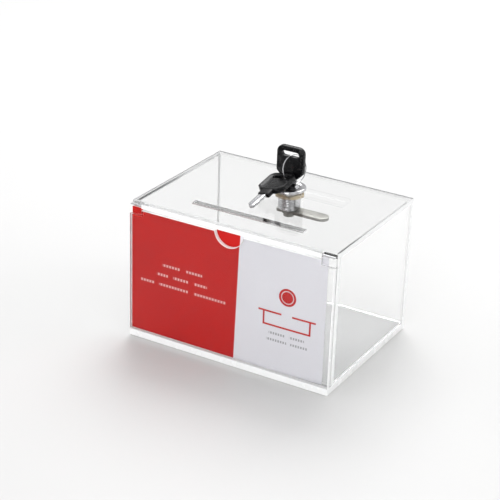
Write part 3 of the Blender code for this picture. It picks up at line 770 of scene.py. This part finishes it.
def make_window(clear, edge, weld):
    """Sign window with its thumb notch and cut corners."""
    centre = WINDOW_HIGH.z + THUMB_RISE
    half_angle = math.degrees(math.asin((centre - WINDOW_HIGH.z) / THUMB_RADIUS))
    corner = BLOCK_LOW.x - GAP
    shoulder = BLOCK_LOW.z - GAP
    right = [(WINDOW_HIGH.x, WINDOW_LOW.z), (WINDOW_HIGH.x, shoulder)]
    right += [(corner, shoulder), (corner, WINDOW_HIGH.z)]
    outline = right + arc(0.0, centre, THUMB_RADIUS, -half_angle, half_angle - 180, 56)
    outline += [(-x, z) for x, z in reversed(right)]
    middle = (WINDOW_LOW.y + WINDOW_HIGH.y) / 2
    upright = Matrix.Translation((0.0, middle, 0.0)) @ Matrix.Rotation(math.radians(90), 4, "X")
    window = plate_object("sign_window_sheet", [outline], WINDOW_HIGH.y - WINDOW_LOW.y, upright)
    bevel(window, POLISHED_ROUND, 2, 30)
    place_piece(window, clear, "box", "acrylic", "sign_window", flat=True)

    def shows(at):
        """Whether a point is in the open and not in a corner cut for a hinge block."""
        return in_the_open(at) and (at.z < shoulder - MM or abs(at.x) < corner - MM)

    mark_edges(window, edge, weld, shows)


# ---------------------------------------------------------------- lock

def about_lock(radius, turn, height):
    """Point on a circle round the lock's axis."""
    return (radius * math.cos(turn), LOCK_Y + radius * math.sin(turn), height)


def make_housing(chrome):
    """Lock housing: domed flange, and a threaded barrel with two flats."""
    outer = (HOUSING_HIGH.x - HOUSING_LOW.x) / 2
    top = HOUSING_HIGH.z
    under = LID_HIGH.z + GAP
    bottom = HOUSING_LOW.z
    face = PLUG_FACE_HOLE
    bore = PLUG_BORE
    shoulder = top - PLUG_FACE_RECESS
    levels = [(face, shoulder), (face, top - 0.35 * MM)]
    levels += [(face + 0.1 * MM, top - 0.1 * MM), (face + 0.35 * MM, top)]
    levels += arc(outer - FLANGE_ROUND, top - FLANGE_ROUND, FLANGE_ROUND, 90, 0, 8)
    levels += [(outer, under + 0.15 * MM), (outer - 0.15 * MM, under), (BARREL_RADIUS, under)]
    thread_top = under - 0.8 * MM
    thread_bottom = bottom + 0.6 * MM
    for row in range(THREAD_ROWS + 1):
        levels.append((BARREL_RADIUS, thread_top + (thread_bottom - thread_top) * row / THREAD_ROWS))
    levels += [(BARREL_RADIUS - 0.45 * MM, bottom + 0.1 * MM), (BARREL_RADIUS - 0.6 * MM, bottom)]
    levels += [(bore + 0.2 * MM, bottom), (bore, bottom + 0.2 * MM), (bore, shoulder)]

    def threaded(radius, turn, height):
        """Point of the housing, with the thread cut into its round sides and its flats squared off."""
        if radius == BARREL_RADIUS and thread_bottom <= height <= thread_top:
            phase = (height / THREAD_PITCH - turn / (2 * math.pi)) % 1.0
            ends = min(1.0, (thread_top - height) / MM, (height - thread_bottom) / MM)
            radius -= THREAD_DEPTH * abs(2 * phase - 1) * max(0.0, ends)
        x, y, z = about_lock(radius, turn, height)
        if height < under and radius > bore + 0.3 * MM:
            x = max(-BARREL_FLAT, min(BARREL_FLAT, x))
        return (x, y, z)

    housing = ring_object("lock_housing_threaded", levels, 160, threaded)
    place_piece(housing, chrome, "lid", "chrome", "lock_housing")


def make_nut(brass):
    """Hexagonal nut with chamfered corners and a chamfered bore."""
    half = (NUT_HIGH.x - NUT_LOW.x) / 2
    low = NUT_LOW.z
    high = NUT_HIGH.z
    twelfth = math.radians(30)
    corner = half / math.cos(twelfth)
    bore = BARREL_RADIUS + GAP
    rise = high - low
    levels = [(corner, high - rise * share) for share in NUT_LEVELS]
    levels += [(bore + NUT_CHAMFER, low), (bore, low + NUT_CHAMFER)]
    levels += [(bore, high - NUT_CHAMFER), (bore + NUT_CHAMFER, high)]

    def hexagonal(radius, turn, height):
        """Point of the nut: the hexagon's side, cut back by the chamfers near its two faces."""
        if radius == corner:
            side = half / math.cos((turn + twelfth) % math.radians(60) - twelfth)
            depth = min(high - height, height - low)
            radius = min(side, half - NUT_FACE_INSET + depth * NUT_SLOPE)
        return about_lock(radius, turn + twelfth, height)

    nut = ring_object("lock_nut_hex", levels, 120, hexagonal)
    place_piece(nut, brass, "lid", "brass_nut", "lock_nut")


def make_cam(steel):
    """Cam strip with a rounded tip, rolled edges and a square hole."""
    half = (CAM_HIGH.y - CAM_LOW.y) / 2
    corner = CAM_CORNER
    outline = arc(CAM_HIGH.x - half, 0.0, half, -90, 90, 32)
    outline += arc(CAM_LOW.x + corner, half - corner, corner, 90, 180, 8)
    outline += arc(CAM_LOW.x + corner, -half + corner, corner, 180, 270, 8)
    hole = CAM_HOLE_HALF
    square = [(hole, hole), (-hole, hole), (-hole, -hole), (hole, -hole)]
    place = Matrix.Translation((0.0, LOCK_Y, (CAM_LOW.z + CAM_HIGH.z) / 2))
    cam = plate_object("cam_strip", [outline, square], CAM_HIGH.z - CAM_LOW.z, place)
    bevel(cam, CAM_ROUND, 3, 50)
    place_piece(cam, steel, "lock_core", "steel", "cam")


# ---------------------------------------------------------------- keys

def bow_outline(inset):
    """Outline of a key's bow in (across, up) from the middle of its slot, inset all round."""
    half = BOW_WIDTH / 2
    bottom = BOW_TOP - BOW_HEIGHT
    radius = BOW_ROUND - inset
    corner = inset * math.tan(math.radians(22.5))
    side = bottom + BOW_CHAMFER + corner
    base = half - BOW_CHAMFER - corner
    soft = BOW_CORNER_EASE
    lead = 0.5 * soft
    ease = 0.29 * soft
    outline = arc(half - BOW_ROUND, BOW_TOP - BOW_ROUND, radius, 0, 90, 14)
    outline += arc(-half + BOW_ROUND, BOW_TOP - BOW_ROUND, radius, 90, 180, 14)
    left = [(-half + inset, side + soft), (-half + inset + ease, side - lead)]
    left += [(-base - lead, bottom + inset + ease), (-base + soft, bottom + inset)]
    return outline + left + [(-x, y) for x, y in reversed(left)]


def make_bow(name, matrix, plastic, body, node):
    """Moulded bow with rounded rims round a recess, a slot and a collar that holds the blade."""
    half = BOW_THICKNESS / 2
    rim = BOW_RIM
    front = [(rim + 0.5 * MM, half - BOW_RECESS), (rim, half - 0.6 * BOW_RECESS), (rim - 0.35 * MM, half)]
    front += [(0.75 * MM, half), (0.35 * MM, half - 0.10 * MM)]
    front += [(0.1 * MM, half - 0.35 * MM), (0.0, half - 0.8 * MM)]
    sections = front + [(inset, -depth) for inset, depth in reversed(front)]
    loops = [[(x, -depth, z) for x, z in bow_outline(inset)] for inset, depth in sections]
    bow = loft_object(name, loops, matrix)
    end = SLOT_HEIGHT / 2
    straight = SLOT_LENGTH / 2 - end
    slot = arc(straight, 0.0, end, -90, 90, 16) + arc(-straight, 0.0, end, 90, 270, 16)
    upright = matrix @ Matrix.Rotation(math.radians(90), 4, "X")
    boolean(bow, plate_object("slot_tool", [slot], 3 * BOW_THICKNESS, upright))
    bottom = BOW_TOP - BOW_HEIGHT
    neck = COLLAR_WIDTH / 2
    side = COLLAR_THICKNESS / 2
    low = (-neck, -side, bottom - COLLAR_LENGTH)
    collar = box_object("collar_tool", low, (neck, side, bottom + COLLAR_OVERLAP), matrix)
    bevel(collar, COLLAR_ROUND, 3)
    apply_modifiers(collar)
    boolean(bow, collar, "UNION")
    width = BLADE_WIDTH / 2 + TANG_CLEARANCE
    depth = BLADE_THICKNESS / 2 + TANG_CLEARANCE
    low = (-width, -depth, bottom - COLLAR_LENGTH - MM)
    pocket = box_object("pocket_tool", low, (width, depth, bottom + TANG_LENGTH + GAP), matrix)
    boolean(bow, pocket)
    bevel(bow, BOW_EDGE_ROUND, 2, 50)
    place_piece(bow, plastic, body, "black_plastic", node)


def blade_outline():
    """Outline of a key's blade: tang, five milled cuts on one edge, pointed tip."""
    half = BLADE_WIDTH / 2
    top = BOW_TOP - BOW_HEIGHT + TANG_LENGTH
    tip = BOW_TOP - BOW_HEIGHT - BLADE_LENGTH
    land = half - 0.6 * MM
    outline = [(land, top), (-half, top), (-half, tip + 2.6 * MM), (-half + 2.2 * MM, tip)]
    outline += [(half - 3.4 * MM, tip), (half - 1.4 * MM, tip + 1.6 * MM)]
    for index, depth in enumerate(BLADE_CUTS):
        middle = tip + BLADE_FIRST_CUT + index * BLADE_CUT_PITCH
        floor = land - depth * MM
        outline += [(floor, middle - BLADE_CUT_HALF), (floor, middle + BLADE_CUT_HALF)]
        if index < len(BLADE_CUTS) - 1:
            outline.append((floor + min(depth, 0.8) * MM, middle + 1.15 * MM))
    outline.append((land, tip + BLADE_FIRST_CUT + len(BLADE_CUTS) * BLADE_CUT_PITCH))
    return outline


def make_blade(name, matrix, steel, body, node):
    """Milled blade with a groove along each face."""
    upright = matrix @ Matrix.Rotation(math.radians(90), 4, "X")
    blade = plate_object(name, [blade_outline()], BLADE_THICKNESS, upright)
    bottom = BOW_TOP - BOW_HEIGHT
    left, right = BLADE_GROOVE_SIDES
    for sign in (-1, 1):
        middle = sign * BLADE_THICKNESS / 2
        low = (left, middle - BLADE_GROOVE, bottom - BLADE_LENGTH - MM)
        high = (right, middle + BLADE_GROOVE, bottom - MM)
        boolean(blade, box_object("groove_tool", low, high, matrix))
    bevel(blade, BLADE_EDGE_ROUND, 2, 35)
    place_piece(blade, steel, body, "key_steel", node)


def make_ring(steel):
    """Split ring: almost two turns of wire side by side, with a small step from one to the other."""
    down = RING_DOWN
    across = (RING_ACROSS - down * RING_ACROSS.dot(down)).normalized()
    place = axes(RING_CENTRE, across, across.cross(down))
    curve = bpy.data.curves.new("split_ring_wire", "CURVE")
    curve.dimensions = "3D"
    curve.bevel_depth = RING_WIRE
    curve.bevel_resolution = 3
    curve.use_fill_caps = True
    curve.resolution_u = 1
    spline = curve.splines.new("POLY")
    spline.points.add(RING_POINTS)
    for index, point in enumerate(spline.points):
        share = index / RING_POINTS
        turn = 2 * math.pi * (RING_TURNS * share + RING_START)
        step = max(-1.0, min(1.0, (share - 0.5) * RING_CROSSING))
        lift = step * RING_STEP / 2
        point.co = (RING_RADIUS * math.cos(turn), RING_RADIUS * math.sin(turn), lift, 1.0)
    ring = object_from(shape_of_curve(bpy.data.objects.new("split_ring_wire", curve)), "split_ring", place)
    place_piece(ring, steel, "ring", "key_steel", "key_ring")


def make_metal_and_keys():
    """Lock, keys and ring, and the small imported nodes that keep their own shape."""
    chrome = metal("chrome", (0.58, 0.58, 0.59), 0.09)
    plug = metal("plug_chrome", (0.52, 0.52, 0.53), 0.13)
    brass = metal("nut_passivated", (0.56, 0.47, 0.31), 0.2)
    wafer = metal("wafer_brass", (0.80, 0.62, 0.30), 0.28)
    steel = metal("satin_steel", (0.34, 0.335, 0.31), 0.3, (120.0, 2600.0, 2600.0))
    pin = metal("pin_steel", (0.62, 0.62, 0.63), 0.2)
    key_steel = metal("key_nickel", (0.55, 0.55, 0.56), 0.16, (2600.0, 2600.0, 150.0))
    plastic = black_plastic("bow_plastic")
    make_housing(chrome)
    make_nut(brass)
    make_cam(steel)
    repaint("lock_plug", plug)
    for name in ("cam_washer", "cam_screw"):
        repaint(name, steel)
    for name in ("hinge_pin_left", "hinge_pin_right"):
        repaint(name, pin)
    for number in range(1, WAFER_COUNT + 1):
        repaint("wafer_%d" % number, wafer)
    lock_key = Matrix.Translation((0.0, LOCK_Y, BOW_HIGH.z - BOW_TOP))
    make_bow("key_bow_moulded", lock_key, plastic, "key", "key_bow")
    make_blade("key_blade_milled", lock_key, key_steel, "key", "key_blade")
    spare = axes(SPARE_END + SPARE_BLADE * BOW_TOP, SPARE_SIDE, -SPARE_BLADE)
    make_bow("spare_key_bow_moulded", spare, plastic, "spare_key", "spare_key_bow")
    make_blade("spare_key_blade_milled", spare, key_steel, "spare_key", "spare_key_blade")
    make_ring(key_steel)


# ---------------------------------------------------------------- stage

def make_camera():
    """Camera that looks down at the box from its front right, turned a little about its own axis."""
    azimuth = math.radians(CAMERA_AZIMUTH)
    elevation = math.radians(CAMERA_ELEVATION)
    roll = math.radians(CAMERA_ROLL)
    level = math.cos(elevation)
    back = Vector((math.sin(azimuth) * level, -math.cos(azimuth) * level, math.sin(elevation)))
    right = Vector((0.0, 0.0, 1.0)).cross(back).normalized()
    up = back.cross(right)
    rolled_right = right * math.cos(roll) + up * math.sin(roll)
    up = up * math.cos(roll) - right * math.sin(roll)
    right = rolled_right
    place = CAMERA_TARGET + back * CAMERA_DISTANCE + right * CAMERA_SHIFT[0] + up * CAMERA_SHIFT[1]
    data = bpy.data.cameras.new("camera")
    data.lens = CAMERA_LENS
    data.sensor_width = SENSOR_WIDTH
    data.clip_start = 0.01
    data.clip_end = 100.0
    camera = bpy.data.objects.new("camera", data)
    camera.matrix_world = Matrix.Translation(place) @ Matrix((right, up, back)).transposed().to_4x4()
    bpy.context.scene.collection.objects.link(camera)
    bpy.context.scene.camera = camera


def make_floor():
    """Wide matt table top in a warm light grey."""
    shape = bmesh.new()
    bmesh.ops.create_grid(shape, x_segments=1, y_segments=1, size=FLOOR_HALF)
    floor = object_from(shape, "floor", Matrix.Translation((0.0, 0.0, -FLOOR_DROP)))
    recipe = Recipe("floor_card")
    cloud = recipe.noise(3.0, 2.0)
    shade = recipe.span(cloud, 0.3, 0.7, 0.0, 1.0)
    recipe.link(recipe.mix(shade, *FLOOR_GREYS), "Base Color")
    recipe.link(recipe.span(recipe.noise(300.0), 0.3, 0.7, 0.5, 0.62), "Roughness")
    recipe.set(Specular_IOR_Level=0.25)
    floor.data.materials.append(recipe.material)


def area_light(name, place, size, power):
    """Square soft light aimed at the object."""
    data = bpy.data.lights.new(name, "AREA")
    data.shape = "SQUARE"
    data.size = size
    data.energy = power
    light = bpy.data.objects.new(name, data)
    light.matrix_world = axes(place, Vector((1.0, 0.0, 0.0)), place - LIGHT_TARGET)
    bpy.context.scene.collection.objects.link(light)


def make_world():
    """Soft studio surroundings: bright all round and more so overhead, with darker upright bars low down."""
    world = bpy.data.worlds.new("studio")
    world.use_nodes = True
    bpy.context.scene.world = world
    studio = Nodes(world.node_tree, "Generated")
    x, y, z = studio.parts(studio.where)
    turn = studio.math("ARCTAN2", y, x)
    wave = studio.math("SINE", studio.math("MULTIPLY_ADD", turn, BAR_COUNT, BAR_TURN))
    bar = studio.span(wave, 0.0, 0.6, 0.0, 1.0)
    low = studio.span(z, 0.15, BAR_TOP, 1.0, 0.0)
    above = studio.span(z, 0.35, 0.75, STUDIO_LIGHT, OVERHEAD_LIGHT)
    light = studio.math("MULTIPLY_ADD", studio.math("MULTIPLY", bar, low), ROOM_LIGHT - STUDIO_LIGHT, above)
    background = world.node_tree.nodes["Background"]
    background.inputs["Color"].default_value = (0.985, 0.99, 1.0, 1.0)
    world.node_tree.links.new(light, background.inputs["Strength"])


def make_stage():
    """Floor, lights and the view's tone."""
    make_floor()
    make_world()
    for light in LIGHTS:
        area_light(*light)
    scene = bpy.context.scene
    scene.view_settings.view_transform = "Standard"
    scene.cycles.max_bounces = 32
    scene.cycles.transmission_bounces = 28
    scene.cycles.glossy_bounces = 12
    scene.cycles.transparent_max_bounces = 16


make_camera()
make_acrylic()
make_sign()
make_metal_and_keys()
make_stage()
